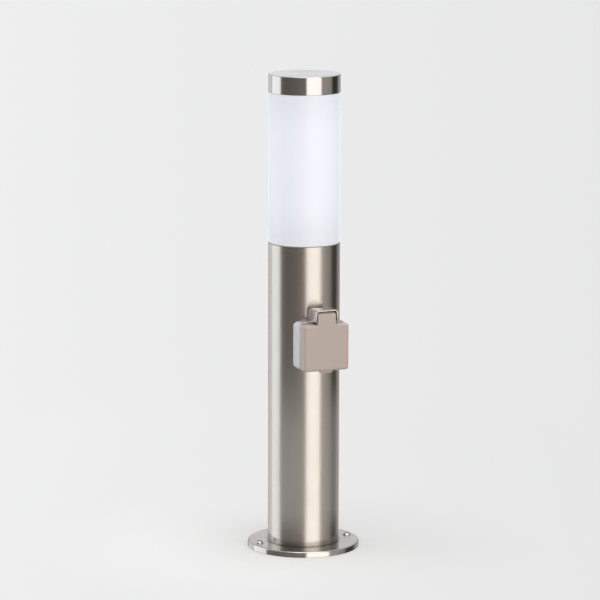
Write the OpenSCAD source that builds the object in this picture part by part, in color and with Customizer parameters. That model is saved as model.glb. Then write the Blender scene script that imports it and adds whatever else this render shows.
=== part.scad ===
// Garden post light with one flap-covered earthed socket, standing on a screwed base flange.
// X runs to the right, the socket faces -Y, Z is up; the origin is on the ground at the post's axis.

/* [Post] */
// Outside diameter of the post tube
post_d = 76; // [70:1:88]
// Wall of the post tube
post_wall = 1.2; // [0.8:0.1:2]
// Height of the post's top rim above the ground
post_top = 328.8; // [300:0.2:420]

/* [Base] */
// Diameter of the base flange at the ground
flange_d = 119; // [112:0.5:140]
// Height of the base flange
flange_h = 6; // [5:0.5:9]
// Sheet thickness of the base flange
flange_sheet = 1.2; // [0.8:0.1:2]
// Outside bend radius of the flange rim
flange_bend = 1.5; // [1:0.1:4]
// Hole in the middle of the flange for the supply cable
flange_bore = 62; // [50:1:66]
// Distance of each base screw from the flange rim
base_screw_inset = 9.1; // [8:0.05:11]
// Thread diameter of the base screws
base_screw_d = 5; // [4:0.5:6]
// Head diameter of the base screws
base_head_d = 9; // [7.5:0.5:10]
// Dome height of the base screw heads
base_head_h = 2.8; // [2:0.1:4]
// Width across flats of the key socket in each base screw
base_key = 3; // [2.5:0.5:4]
// Depth of the key socket in each base screw
base_key_depth = 1.4; // [0.8:0.1:1.8]
// Height of the base screws' tips above the ground
base_screw_tip = 0.6; // [0.3:0.1:1.5]
// Gap of the base screws in the flange
base_screw_gap = 0.2; // [0.1:0.05:0.5]

/* [Ground bracket] */
// Thickness of the bracket plate
bracket_t = 2.5; // [2:0.5:3.5]
// Diameter of the bracket's round middle
bracket_d = 74; // [68:1:80]
// Cable hole in the middle of the bracket
bracket_bore = 40; // [30:1:42]
// Pitch circle of the three ground anchor holes
anchor_pcd = 56; // [52:1:58]
// Diameter of the ground anchor holes
anchor_hole_d = 6.5; // [5:0.5:8]
// Gap between the bracket's ends and the flange skirt
bracket_gap = 0.6; // [0.4:0.1:1.5]
// Diameter of the threaded bosses that take the base screws
boss_d = 11; // [9:0.5:12]

/* [Lamp head] */
// Height of the lamp cover that shows between post and cap
cover_h = 159.2; // [120:0.2:220]
// Wall of the lamp cover
cover_wall = 2.4; // [1.6:0.1:3.5]
// How far the lamp cover stands back from the tube's surface
cover_setback = 0.2; // [0:0.1:0.6]
// Length of the cover's spigot inside the post
spigot_l = 12; // [8:1:14]
// Wall of the cover's two end rings
spigot_wall = 3.1; // [2:0.1:4]
// Height of the end rings inside the cover
ring_lap = 3; // [2:0.5:6]
// Gap around the cover's spigots
spigot_gap = 0.3; // [0.1:0.1:0.6]
// Thickness of the seal between post and cover
seam_t = 0.8; // [0.5:0.1:1.5]
// How far the seam seal stands back from the cover's surface
seam_setback = 0.4; // [0.1:0.1:0.6]
// Height of the top cap
cap_h = 19; // [12:0.5:30]
// Wall of the top cap
cap_wall = 1; // [0.8:0.1:1.5]
// Edge radius of the top cap
cap_ease = 0.8; // [0.3:0.1:1]
// Thickness of the seal under the cap
cap_gasket_t = 1.5; // [1:0.1:3]

/* [Lamp] */
// Depth of the lampholder plate below the post's rim
plate_drop = 20; // [17:1:40]
// Sheet thickness of the lampholder plate
plate_t = 1.5; // [1:0.1:2.5]
// Length of the plate's skirt
plate_skirt = 12; // [8:1:20]
// Diameter of the hollow threaded nipple
nipple_d = 10; // [9:0.5:12]
// Bore of the nipple for the lamp wires
nipple_bore = 7.4; // [6.6:0.2:8]
// Width across flats of the nipple's nut
nut_flats = 14; // [13:1:17]
// Height of the nipple's nut
nut_h = 3; // [2.5:0.5:5]
// Length of thread that the nipple shows below its nut
nipple_end = 2; // [1:0.5:4]
// Foot diameter of the lampholder
holder_foot_d = 40; // [37:1:46]
// Thickness of the lampholder's foot
holder_foot_t = 6; // [5:0.5:10]
// Height of the lampholder
holder_h = 34; // [28:1:38]
// Wall of the lampholder's barrel
holder_wall = 3; // [2:0.5:5]
// Diameter of the bulb's screw cap
bulb_cap_d = 26.1; // [25:0.1:27]
// Length of the bulb's screw cap
bulb_cap_l = 30; // [28:1:34]
// Diameter of the bulb's centre contact
bulb_tip_d = 9; // [7:0.5:12]
// Height of the bulb's centre contact, and of the slope beside it
bulb_tip_h = 3; // [2:0.5:5]
// Gap between the bulb's screw cap and the holder's thread
bulb_gap = 0.8; // [0.3:0.1:0.9]
// Length of the bulb's tapered body
bulb_body_l = 40; // [30:1:50]
// Diameter of the bulb's globe
bulb_d = 59; // [50:1:62]
// Wall of the bulb's globe
bulb_wall = 1.2; // [0.8:0.1:2]

/* [Terminals] */
// Height of the terminal bracket's lower edge above the ground
term_z = 62; // [40:1:70]
// Width of the terminal bracket
term_w = 44; // [42:1:50]
// Height of the terminal bracket
term_h = 62; // [60:1:75]
// Sheet thickness of the terminal bracket
term_sheet = 1.5; // [1:0.1:2]
// Distance of the bracket's web from the inside of the post
term_depth = 18.3; // [16:0.1:20]
// Height of the terminal block's middle above the bracket's lower edge
block_up = 40; // [34:1:42]
// Height of the terminal block
block_h = 20; // [18:1:24]
// Thickness of the terminal block's foot
block_foot = 8; // [7:0.5:8.5]
// Height of the terminal towers above the foot
tower_h = 6; // [5:0.5:8]
// Width of one terminal tower
tower_w = 6; // [5:0.5:6.5]
// Distance from one pole of the terminal block to the next
pole_pitch = 12; // [11.5:0.5:13]
// Diameter of the wire holes in the terminal block
wire_hole_d = 3.4; // [3:0.1:3.6]
// Distance of the wire holes from the bracket's web
wire_hole_back = 5.5; // [4:0.1:5.6]
// Diameter of the terminal screws
term_screw_d = 3.6; // [3:0.1:4]
// Depth of the terminal screws' heads in their towers
term_screw_sink = 0.9; // [0.5:0.1:1.5]
// Distance of the terminal screws from the block's middle
term_screw_off = 5; // [4:0.5:6]
// Height of the cable clamp above the bracket's lower edge
clamp_up = 10; // [7:1:16]
// Radius of the cable groove in the clamp
clamp_groove = 4.5; // [3.5:0.5:5.5]
// Thickness of the cable clamp
clamp_t = 2.5; // [2:0.5:3.5]
// Height of the cable clamp's strap
clamp_h = 8; // [6:1:10]
// Length of each of the clamp's feet
clamp_foot = 8; // [7:0.5:9]
// Thread diameter of the bracket's screws
small_screw_d = 3; // [2.5:0.1:3.5]
// Head diameter of the bracket's screws
small_head_d = 5.2; // [4.5:0.1:5.6]
// Head height of the bracket's screws
small_head_h = 2; // [1.4:0.1:3]
// Distance of the earth screw from the bracket's middle line
earth_screw_x = 17; // [16:0.5:17.5]
// Distance of the earth screw from the bracket's upper edge
earth_screw_drop = 6; // [4:0.5:7]

/* [Socket box] */
// Height of the socket's middle above the ground
socket_z = 226.4; // [190:0.1:250]
// Width of the socket flange
socket_w = 50; // [50:0.5:56]
// Height of the socket flange
socket_h = 52.2; // [52:0.1:56]
// Corner radius of the socket flange
socket_corner = 4.5; // [4:0.5:8]
// How far the socket box stays inside the flange's sides
saddle_inset = 0.8; // [0.4:0.1:1.2]
// How far the socket box stays below the flange's top edge
saddle_drop = 1.9; // [0.5:0.1:2.2]
// Corner radius of the socket box
saddle_corner = 5; // [4:0.5:6]
// How far the socket box stands out from the front of the tube
saddle_stand = 11.5; // [9:0.5:20]
// Thickness of the seal between socket box and tube
saddle_gasket_t = 0.9; // [0.5:0.1:1.5]
// Inset of the seal from the socket box's outline
saddle_gasket_inset = 0.5; // [0.2:0.1:1]
// Thickness of the socket flange
socket_flange_t = 3; // [2.5:0.1:4]
// Distance of the four fixing screws from the edges
fix_inset = 6; // [5:0.5:6]
// Thread diameter of the fixing screws
fix_d = 3.2; // [2.6:0.2:3.4]
// Head diameter of the fixing screws
fix_head_d = 6.2; // [5:0.2:6.4]
// Length of the fixing screws that shows inside the tube
fix_tip = 4; // [3:0.5:8]

/* [Socket insert] */
// Diameter of the plug recess
recess_d = 39; // [38:0.1:39.2]
// Depth of the plug recess
recess_depth = 17.5; // [16:0.5:18.5]
// Entry chamfer of the plug recess
recess_chamfer = 0.4; // [0.2:0.1:0.5]
// Wall of the recess
well_wall = 2; // [1.6:0.1:2.2]
// Thickness of the recess floor
floor_t = 2.5; // [2:0.1:3.5]
// Radial width of the insert's collar
collar_w = 1.1; // [0.8:0.1:1.3]
// Thickness of the insert's collar
collar_t = 1.5; // [1:0.1:3]
// Distance between the two plug pins
pin_pitch = 19; // [18:0.5:20]
// Diameter of the two pin holes
pin_hole_d = 5.5; // [5:0.1:6]
// Width of the two guide ribs
rib_w = 4; // [3:0.5:5]
// How far the guide ribs stand into the recess
rib_in = 1.6; // [1:0.1:2]
// Length of the contact base behind the recess floor
contact_l = 18.5; // [16:0.5:20]
// Diameter of the contact base
contact_d = 41; // [40:0.5:42]
// Height of the contact base between its two flats
contact_h = 34; // [32:0.5:36]
// Outside diameter of the contact sleeves
sleeve_d = 6.4; // [6.2:0.1:7]
// Bore of the contact sleeves
sleeve_bore = 4.9; // [4.8:0.1:5.2]
// Length of the contact sleeves
sleeve_l = 14; // [10:0.5:14]
// Width of the earth strip
earth_w = 6.5; // [5:0.5:8]
// Thickness of the earth strip
earth_t = 0.8; // [0.6:0.1:1]
// How far the earth springs bulge into the recess
earth_bulge = 2.1; // [1.5:0.1:2.5]
// Distance between the springs' tips and the front of the box
earth_tip = 2; // [1:0.5:4]
// Diameter of the insert's middle screw
insert_screw_d = 3.2; // [2.6:0.1:3.5]
// Head diameter of the insert's middle screw
insert_head_d = 6.4; // [5:0.2:8]
// Head height of the insert's middle screw
insert_head_h = 1.6; // [1.2:0.1:2.4]
// Diameter of the contact screws
contact_screw_d = 3; // [2.6:0.1:3.4]
// Head diameter of the contact screws
contact_head_d = 6; // [5:0.2:6.6]
// Head height of the contact screws
contact_head_h = 1.5; // [1.2:0.1:2]
// Distance of the earth contact screw below the socket's middle
earth_screw_y = 5.5; // [4.5:0.1:6]
// Depth of the wire holes in the contact base
lead_depth = 5; // [4.5:0.5:6]
// Distance of the live and neutral wire holes from the socket's middle
lead_y = 8; // [7:0.5:9]
// Distance of the earth wire holes below the socket's middle
earth_lead_y = 11; // [10.5:0.5:12]
// Distance of the earth wire holes from the socket's middle line
earth_lead_x = 3.5; // [3:0.1:4]

/* [Lid] */
// Thickness of the lid
lid_t = 12; // [9:0.5:14]
// Wall of the lid
lid_wall = 1.8; // [1.4:0.1:1.9]
// Corner radius of the lid
lid_corner = 2.8; // [2.5:0.1:5]
// Radius of the lid's front edge
lid_ease = 2.3; // [1:0.1:2.4]
// Gap between the lid and the socket flange
lid_gap = 0.5; // [0.4:0.1:1]
// How far the lid's upper and lower edges stay inside the flange's
lid_drop = 1.5; // [1:0.1:2.4]
// Gap between the lid's seal and the socket flange
seal_gap = 0.3; // [0.2:0.1:0.4]
// Thickness of the lid's seal
seal_t = 1.5; // [1:0.1:3]
// Radial width of the lid's seal
seal_w = 1.5; // [1:0.1:1.6]
// Radial distance of the lid's seal from the recess
seal_off = 0.5; // [0.4:0.1:0.6]
// Width of the finger tab
tab_w = 15; // [10:1:20]
// Length of the finger tab
tab_l = 2.3; // [2:0.1:5]
// Thickness of the finger tab
tab_t = 3; // [2:0.5:5]
// Corner radius of the finger tab
tab_corner = 1.8; // [1:0.1:2]

/* [Lid hinge] */
// Width of the lid's tongue
tongue_w = 19.6; // [18:0.1:24]
// Thickness of the lid's tongue
tongue_t = 5; // [4.5:0.1:5.2]
// Radius of the tongue's upper corners, seen from the front
tongue_bend = 2; // [1:0.1:2]
// Radius of the lid's knuckle
knuckle_r = 5.2; // [5:0.1:5.4]
// Diameter of the hinge pin
hinge_pin_d = 3; // [2.5:0.1:3.2]
// Clearance around the hinge pin
hinge_fit = 0.05; // [0.03:0.01:0.1]
// Height of the hinge pin above the socket's top edge
pin_rise = 7; // [5.7:0.1:7.5]
// Thickness of the hood's two ears
ear_t = 1.2; // [1.1:0.1:2]
// Depth of the hinge pin's seat in each ear
pin_seat = 0.8; // [0.5:0.1:0.9]
// Gap between the lid's tongue and each ear
ear_gap = 1.4; // [0.4:0.1:1.6]
// Height of the ears' front foot above the socket's top edge
ear_foot = 2; // [1:0.1:2.5]
// Thickness of the hood's roof
roof_t = 1; // [0.8:0.1:2]
// Gap between the roof and the knuckle
roof_gap = 0.8; // [0.8:0.05:1.2]
// How far the hood stands out past the lid
hood_over = 0.2; // [0:0.1:1.2]
// How far the hood reaches back over the socket box
hood_lap = 7.5; // [5:0.5:9]
// Bend radius between the hood's roof and its ears
hood_bend = 3.3; // [2.4:0.1:3.4]
// Corner radius of the hood's front, seen from the side
hood_corner = 1; // [0.5:0.1:3]
// Corner radius of the hood's back, seen from the side
hood_round = 8; // [4:0.5:10]
// Gap between the knuckle and the hood's web
web_gap = 1.1; // [0.8:0.1:1.1]
// Wire diameter of the lid spring
spring_wire = 0.8; // [0.6:0.05:0.8]
// Mean radius of the lid spring's turns
spring_r = 2.7; // [2.6:0.05:2.8]
// Pitch of the lid spring's turns
spring_pitch = 1.3; // [1.25:0.05:1.4]
// Whole turns of the lid spring
spring_turns = 5; // [4:1:5]
// Gap between the lid spring's legs and what they press on
spring_touch = 0.2; // [0.1:0.05:0.3]
// Gap between the lid spring and its slot
spring_gap = 0.5; // [0.4:0.05:0.6]

/* [Clearances] */
// Width of the screwdriver slots
driver_w = 0.8; // [0.5:0.1:1.2]
// Depth of the screwdriver slots
driver_depth = 0.8; // [0.5:0.1:1]
// Gap between pieces that are fitted into each other
fit_gap = 0.1; // [0.05:0.05:0.2]
// Gap of a screw in its hole
screw_gap = 0.05; // [0.03:0.01:0.1]
// Gap between the insert and the holes that it passes
well_gap = 0.25; // [0.1:0.05:0.3]

/* [Hidden] */
$fn = 64;
past = 1;                                           // how far a cutter runs past a face

// Post, base and bracket
post_r = post_d / 2;
bore_r = post_r - post_wall;                        // inside radius of the post
flange_r = flange_d / 2;
flange_under = flange_h - flange_sheet;             // underside of the flange's plate
base_screw_x = flange_r - base_screw_inset;
flange_fold = max(flange_bend - flange_sheet, fit_gap);   // inside bend radius of the rim
bracket_end_r = base_screw_inset - flange_sheet - bracket_gap;

// Lamp head
cover_z = post_top + seam_t;
cover_top = cover_z + cover_h;
cover_r = post_r - cover_setback;
spigot_r = bore_r - spigot_gap;
cap_top = cover_top + cap_h;
cap_bore_r = post_r - cap_wall;
neck_r = cap_bore_r - spigot_gap;                   // the cover's upper ring, inside the cap
neck_top = cap_top - cap_wall - cap_gasket_t;

// Lamp
plate_z = post_top - plate_drop;                    // top of the lampholder plate
nut_z = plate_z - plate_t - nut_h;
holder_bore_r = bulb_cap_d / 2 + bulb_gap;
bulb_z = plate_z + holder_foot_t + fit_gap;
bulb_body_z = bulb_z + bulb_cap_l;
globe_z = bulb_body_z + bulb_body_l;

// Terminals
web_y = bore_r - term_depth;                        // front of the terminal bracket's web
leg_y = sqrt(pow(bore_r - fit_gap, 2) - pow(term_w / 2, 2));
block_z = term_z + block_up;
block_w = 3 * pole_pitch;
wire_y = web_y - wire_hole_back;
clamp_z = term_z + clamp_up;
clamp_out_r = clamp_groove + clamp_t;
clamp_screw_x = clamp_out_r + clamp_foot / 2;
earth_screw_z = term_z + term_h - earth_screw_drop;

// Socket depths, measured outwards from the post's axis
saddle_front = post_r + saddle_stand;
flange_front = saddle_front + socket_flange_t;
recess_floor = flange_front - recess_depth;
floor_back = recess_floor - floor_t;
contact_back = floor_back - contact_l;
strap_back = floor_back - earth_t;
seat_r = post_r + saddle_gasket_t;                  // hollow back of the socket box
saddle_w = socket_w - 2 * saddle_inset;
saddle_h = socket_h - saddle_drop;
saddle_y = -saddle_drop / 2;                        // the box's middle lies below the socket's
saddle_back = sqrt(pow(seat_r, 2) - pow(saddle_w / 2, 2)) - past;
recess_r = recess_d / 2;
well_r = recess_r + well_wall;
collar_r = well_r + collar_w;
well_hole_r = well_r + well_gap;
post_hole_r = well_hole_r + well_gap;
fix_x = socket_w / 2 - fix_inset;
fix_end = sqrt(pow(bore_r, 2) - pow(fix_x, 2)) - fix_tip;
sleeve_back = floor_back - fit_gap - sleeve_l;
contact_screw_l = sleeve_back - fit_gap - contact_back;
finger_y = sqrt(pow(recess_r, 2) - pow(earth_w / 2, 2)) - fit_gap - earth_t;

// Lid and hinge
lid_back = flange_front + lid_gap;
lid_front = lid_back + lid_t;
lid_h = socket_h - 2 * lid_drop;
seal_back = flange_front + seal_gap;
seal_in_r = recess_r + seal_off;
seal_out_r = seal_in_r + seal_w;
tongue_foot = lid_h / 2 - max(lid_wall, lid_ease);    // below the lid's rounded edge
pin_d = lid_front - knuckle_r;
socket_top = socket_h / 2;
saddle_top = socket_top - saddle_drop;
pin_y = socket_top + pin_rise;
cavity_w = tongue_w + 2 * ear_gap;                  // between the hood's ears
hood_w = cavity_w + 2 * ear_t;
roof_y = pin_y + knuckle_r + roof_gap;
hood_top = roof_y + roof_t;
hood_front = lid_front + hood_over;
hood_back = saddle_front - hood_lap;
web_front = pin_d - knuckle_r - web_gap;

// Lid spring: its turns run from the leg on the web to the leg on the tongue
spring_from = 270;
spring_to = 200 + 360 * spring_turns;
spring_rise = spring_pitch * (spring_to - spring_from) / 360;
spring_web_leg = pin_d - web_front - spring_touch;
spring_tongue_leg =
    (tongue_t - knuckle_r + spring_wire / 2 + spring_touch + spring_r * cos(spring_to)) / sin(spring_to);
slot_r = spring_r + spring_wire / 2 + spring_gap;
slot_w = spring_rise + spring_wire + 4 * spring_gap;
spring_sides = 6;
spring_rings = 8;

// Wires: each runs from a hole in the contact base, round a bend that turns it up or down, to its far end
wire_d = 2.6;
wire_sides = 8;
wire_steps = 2;
wire_in = 6;                                        // how far a wire goes into its terminal
wire_bend = 12;                                     // radius of a wire's bend behind the contact base
bond_bend = 17;                                     // wider bend, which takes the bond past the neutral wire
wire_run = 14;                                      // straight run before a wire's far end
lead_end = contact_back + lead_depth - past;
bend_end = contact_back - wire_d;
lead_x = pin_pitch / 2;
pole_z = block_z + block_h / 2 - wire_in;
lamp_end_x = nipple_bore / 2 - wire_d / 2 - screw_gap;
lamp_end_z = plate_z + holder_foot_t / 2;
bond_y = web_y - small_head_h - wire_d / 2;
bond_z = earth_screw_z + small_head_d / 2 + fit_gap;
function between(a, b, share) = a + (b - a) * share;
function route(x, z, turn, far, radius = wire_bend) = let (
    bend = [for (a = [90 : -45 : 0])
        [x, radius * cos(a) - bend_end, z + turn * radius * (1 - sin(a))]],
    run = far - [0, 0, turn * wire_run]
) concat([[x, -lead_end, z]], bend,
         [between(bend[2], run, 1 / 3), between(bend[2], run, 2 / 3), run, far]);

// Shared shapes

// Puts a child in the socket's frame: x to the right, y up from its middle, z out from the post's axis
module at_socket() {
    translate([0, 0, socket_z]) rotate([90, 0, 0]) children();
}

// Repeats a child at the socket's four fixing screws
module at_corners() {
    for (x = [-fix_x, fix_x], y = [-fix_x, fix_x]) translate([x, y, 0]) children();
}

// Extrudes an outline drawn over depth (x) and height (y) across the socket's width
module across_depth(width) {
    rotate([0, -90, 0]) linear_extrude(width, center = true) children();
}

// What rounding by radius r takes off the corner at x = r, y = r
module corner_cut(r) {
    difference() {
        square(r + past);
        circle(r);
    }
}

// Rectangle about the middle with four round corners
module rounded_square(w, h, r) {
    square([w - 2 * r, h], center = true);
    for (side = [-1, 1]) {
        translate([side * (w - r) / 2, 0]) square([r, h - 2 * r], center = true);
        for (end = [-1, 1])
            translate([side * (w / 2 - r), end * (h / 2 - r)]) intersection() {
                circle(r);
                scale([side, end]) square(r);
            }
    }
}

// Ring between two radii
module ring(outer, inner, h) {
    difference() {
        cylinder(r = outer, h = h);
        translate([0, 0, -past]) cylinder(r = inner, h = h + 2 * past);
    }
}

// Section of an edge that is w wide and t thick, its upper outer corner rounded
module eased_edge(w, t, ease) {
    difference() {
        square([w, t]);
        translate([w - ease, t - ease]) corner_cut(ease);
    }
}

// Plate with rounded corners and a rounded front edge, standing on z = 0
module eased_plate(w, h, t, corner, ease) {
    flat_w = w - 2 * corner;
    flat_h = h - 2 * corner;
    translate([-flat_w / 2, -flat_h / 2, 0]) cube([flat_w, flat_h, t]);
    for (turn = [0 : 3]) rotate(90 * turn) {
        out = (turn % 2 == 0 ? flat_w : flat_h) / 2;
        run = (turn % 2 == 0 ? flat_h : flat_w) / 2;
        translate([out, run, 0]) rotate([90, 0, 0]) linear_extrude(2 * run) eased_edge(corner, t, ease);
        translate([out, run, 0]) rotate_extrude(angle = 90) eased_edge(corner, t, ease);
    }
}

// Hole for a screw or a sleeve along z
module screw_hole(d, h) {
    cylinder(d = d + 2 * screw_gap, h = h);
}

// Screwdriver slot across a head whose face is z = 0
module driver_slot(head_d) {
    cube([head_d + past, driver_w, 2 * driver_depth], center = true);
}

// Pan-head screw along z, its head standing on z = 0
module pan_screw(d, length, head_d, head_h) {
    translate([0, 0, -length]) cylinder(d = d, h = length);
    difference() {
        cylinder(d = head_d, h = head_h);
        translate([0, 0, head_h]) driver_slot(head_d);
    }
}

// Smooth curve through a route's own points
function eased(a, b, c, d, t) =
    (2 * b + (c - a) * t + (2 * a - 5 * b + 4 * c - d) * t * t + (3 * b - a - 3 * c + d) * t * t * t) / 2;
function smooth(route, steps) =
    let (last = len(route) - 1)
    [for (i = [0 : last - 1]) for (s = [0 : steps - 1])
        eased(route[max(i - 1, 0)], route[i], route[i + 1], route[min(i + 2, last)], s / steps),
     route[last]];
function unit(v) = v / norm(v);
function heading(path, i) = unit(path[min(i + 1, len(path) - 1)] - path[max(i - 1, 0)]);

// Closed tube swept along points that never run along x
module swept_tube(path, d, sides) {
    last = len(path) - 1;
    points = [for (i = [0 : last])
        let (t = heading(path, i), u = unit(cross(t, [1, 0, 0])), v = cross(t, u))
        for (k = [0 : sides - 1]) path[i] + d / 2 * (u * cos(360 * k / sides) + v * sin(360 * k / sides))];
    walls = [for (i = [0 : last - 1]) for (k = [0 : sides - 1])
        let (a = i * sides + k, b = i * sides + (k + 1) % sides)
        each [[a, a + sides, b + sides], [a, b + sides, b]]];
    first_end = [for (k = [1 : sides - 2]) [0, k, k + 1]];
    last_end = [for (k = [1 : sides - 2]) [last * sides, last * sides + k + 1, last * sides + k]];
    polyhedron(points, concat(walls, first_end, last_end));
}

module wire(route) {
    swept_tube(smooth(route, wire_steps), wire_d, wire_sides);
}

// Base

// Pressed dish: a plate with a bent-down rim and a hole for the cable
module base_flange() {
    color("silver") difference() {
        rotate_extrude() difference() {
            eased_edge(flange_r, flange_h, flange_bend);
            translate([-past, -past]) square([flange_bore / 2 + past, flange_h + 2 * past]);
            translate([0, -past])
                eased_edge(flange_r - flange_sheet, flange_under + past, flange_fold);
        }
        for (side = [-1, 1])
            translate([side * base_screw_x, 0, 0])
                cylinder(d = base_screw_d + 2 * base_screw_gap, h = flange_h + past);
    }
}

// Two dome-headed screws with a six-sided key socket
module base_screws() {
    dome_r = (pow(base_head_d / 2, 2) + pow(base_head_h, 2)) / (2 * base_head_h);
    color("gainsboro") for (side = [-1, 1]) translate([side * base_screw_x, 0, flange_h]) {
        difference() {
            rotate_extrude() intersection() {
                translate([0, base_head_h - dome_r]) circle(dome_r);
                square([base_head_d, base_head_h]);
            }
            translate([0, 0, base_head_h - base_key_depth])
                cylinder(r = base_key / 2 / cos(30), h = base_head_h, $fn = 6);
        }
        translate([0, 0, base_screw_tip - flange_h])
            cylinder(d = base_screw_d, h = flange_h - base_screw_tip);
    }
}

// Plate that is anchored to the ground; the flange is screwed to its two threaded bosses
module ground_bracket() {
    color("darkgray") difference() {
        union() {
            cylinder(d = bracket_d, h = bracket_t);
            translate([-base_screw_x, -bracket_end_r, 0])
                cube([2 * base_screw_x, 2 * bracket_end_r, bracket_t]);
            for (side = [-1, 1]) translate([side * base_screw_x, 0, 0]) {
                cylinder(r = bracket_end_r, h = bracket_t);
                cylinder(d = boss_d, h = flange_under);
            }
        }
        translate([0, 0, -past]) {
            cylinder(d = bracket_bore, h = bracket_t + 2 * past);
            for (turn = [90, 210, 330])
                rotate(turn) translate([anchor_pcd / 2, 0, 0])
                    cylinder(d = anchor_hole_d, h = bracket_t + 2 * past);
            for (side = [-1, 1])
                translate([side * base_screw_x, 0, 0])
                    screw_hole(base_screw_d, flange_h + past);
        }
    }
}

// Post

// Tube with the socket's opening and its four screw holes
module post_tube() {
    color("silver") difference() {
        translate([0, 0, flange_h]) ring(post_r, bore_r, post_top - flange_h);
        at_socket() cylinder(r = post_hole_r, h = post_r + past);
        at_socket() at_corners() screw_hole(fix_d, post_r + past);
    }
}

// Terminals

// Places a child at each of the bracket's screws, z pointing to the front; foot is what the screw holds
module at_bracket_screws(feet) {
    places = [
        [-clamp_screw_x, clamp_z, clamp_t], [clamp_screw_x, clamp_z, clamp_t],
        [-pole_pitch / 2, block_z, block_foot], [pole_pitch / 2, block_z, block_foot],
        [earth_screw_x, earth_screw_z, 0]
    ];
    for (place = places)
        translate([place.x, web_y - (feet ? place.z : 0), place.y]) rotate([90, 0, 0]) {
            $foot = place.z;
            children();
        }
}

// Channel whose two legs stand against the inside of the post
module terminal_bracket() {
    color("lightgray") difference() {
        translate([-term_w / 2, web_y, term_z]) difference() {
            cube([term_w, leg_y - web_y, term_h]);
            translate([term_sheet, term_sheet, -past])
                cube([term_w - 2 * term_sheet, leg_y - web_y, term_h + 2 * past]);
        }
        at_bracket_screws(false)
            translate([0, 0, -term_sheet - past])
                screw_hole(small_screw_d, term_sheet + 2 * past);
    }
}

// Three-pole block: a foot with three towers, wire holes upwards through each and screws from the front
module terminal_block() {
    depth = block_foot + tower_h;
    color("ivory") difference() {
        union() {
            translate([-block_w / 2, web_y - block_foot, block_z - block_h / 2])
                cube([block_w, block_foot, block_h]);
            for (pole = [-1 : 1])
                translate([pole * pole_pitch - tower_w / 2, web_y - depth, block_z - block_h / 2])
                    cube([tower_w, depth, block_h]);
        }
        for (pole = [-1 : 1]) translate([pole * pole_pitch, 0, block_z]) {
            translate([0, wire_y, -block_h / 2 - past]) cylinder(d = wire_hole_d, h = block_h + 2 * past);
            for (side = [-1, 1])
                translate([0, wire_y, side * term_screw_off]) rotate([90, 0, 0])
                    screw_hole(term_screw_d, depth);
        }
        at_bracket_screws(false) screw_hole(small_screw_d, block_foot + past);
    }
}

// Six slotted screws that press on the wires
module terminal_screws() {
    head_y = web_y - block_foot - tower_h + term_screw_sink;
    tip_y = wire_y - wire_hole_d / 2 - fit_gap;
    color("khaki") for (pole = [-1 : 1], side = [-1, 1])
        translate([pole * pole_pitch, tip_y, block_z + side * term_screw_off]) rotate([90, 0, 0])
            difference() {
                cylinder(d = term_screw_d, h = tip_y - head_y);
                translate([0, 0, tip_y - head_y]) driver_slot(term_screw_d);
            }
}

// Strap with a half-round groove that grips the supply cable against the bracket
module cable_clamp() {
    color("dimgray") difference() {
        translate([0, web_y, clamp_z - clamp_h / 2]) linear_extrude(clamp_h) difference() {
            union() {
                circle(clamp_out_r);
                translate([-clamp_out_r - clamp_foot, -clamp_t])
                    square([2 * (clamp_out_r + clamp_foot), clamp_t]);
            }
            circle(clamp_groove);
            translate([-clamp_out_r - past, 0]) square([2 * (clamp_out_r + past), clamp_out_r + past]);
        }
        at_bracket_screws(false) screw_hole(small_screw_d, clamp_t + past);
    }
}

// Screws of the clamp, the block and the earth wire
module bracket_screws() {
    color("gainsboro") at_bracket_screws(true)
        pan_screw(small_screw_d, $foot + 2 * term_sheet, small_head_d, small_head_h);
}

// Lamp

// Cup that carries the lampholder inside the top of the post
module lampholder_plate() {
    plate_r = bore_r - fit_gap;
    color("lightgray") translate([0, 0, plate_z]) {
        translate([0, 0, -plate_t]) ring(plate_r, nipple_d / 2 + fit_gap, plate_t);
        translate([0, 0, -plate_t - plate_skirt]) ring(plate_r, plate_r - plate_t, plate_skirt);
    }
}

// Hollow nipple through plate and lampholder
module holder_nipple() {
    color("goldenrod") translate([0, 0, nut_z - nipple_end])
        ring(nipple_d / 2, nipple_bore / 2, plate_z + holder_foot_t - fit_gap - nut_z + nipple_end);
}

// Six-sided nut under the plate
module nipple_nut() {
    color("goldenrod") translate([0, 0, nut_z]) difference() {
        cylinder(r = nut_flats / 2 / cos(30), h = nut_h, $fn = 6);
        translate([0, 0, -past]) screw_hole(nipple_d, nut_h + 2 * past);
    }
}

// Foot with a barrel that takes the bulb's screw cap
module lampholder() {
    color("whitesmoke") translate([0, 0, plate_z]) {
        ring(holder_foot_d / 2, nipple_d / 2 + screw_gap, holder_foot_t);
        translate([0, 0, holder_foot_t])
            ring(holder_bore_r + holder_wall, holder_bore_r, holder_h - holder_foot_t);
    }
}

// Screw cap with its centre contact
module bulb_screw_cap() {
    color("gainsboro") translate([0, 0, bulb_z]) rotate_extrude() polygon([
        [0, 0], [bulb_tip_d / 2, 0], [bulb_tip_d / 2, bulb_tip_h], [bulb_cap_d / 2, 2 * bulb_tip_h],
        [bulb_cap_d / 2, bulb_cap_l], [0, bulb_cap_l]
    ]);
}

// Tapered body between screw cap and globe
module bulb_body() {
    color("white") translate([0, 0, bulb_body_z])
        cylinder(d1 = bulb_cap_d, d2 = bulb_d, h = bulb_body_l);
}

// Half-round frosted globe
module bulb_globe() {
    color("white") translate([0, 0, globe_z]) rotate_extrude() intersection() {
        difference() {
            circle(d = bulb_d);
            circle(d = bulb_d - 2 * bulb_wall);
        }
        square(bulb_d);
    }
}

// Lamp head

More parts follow.
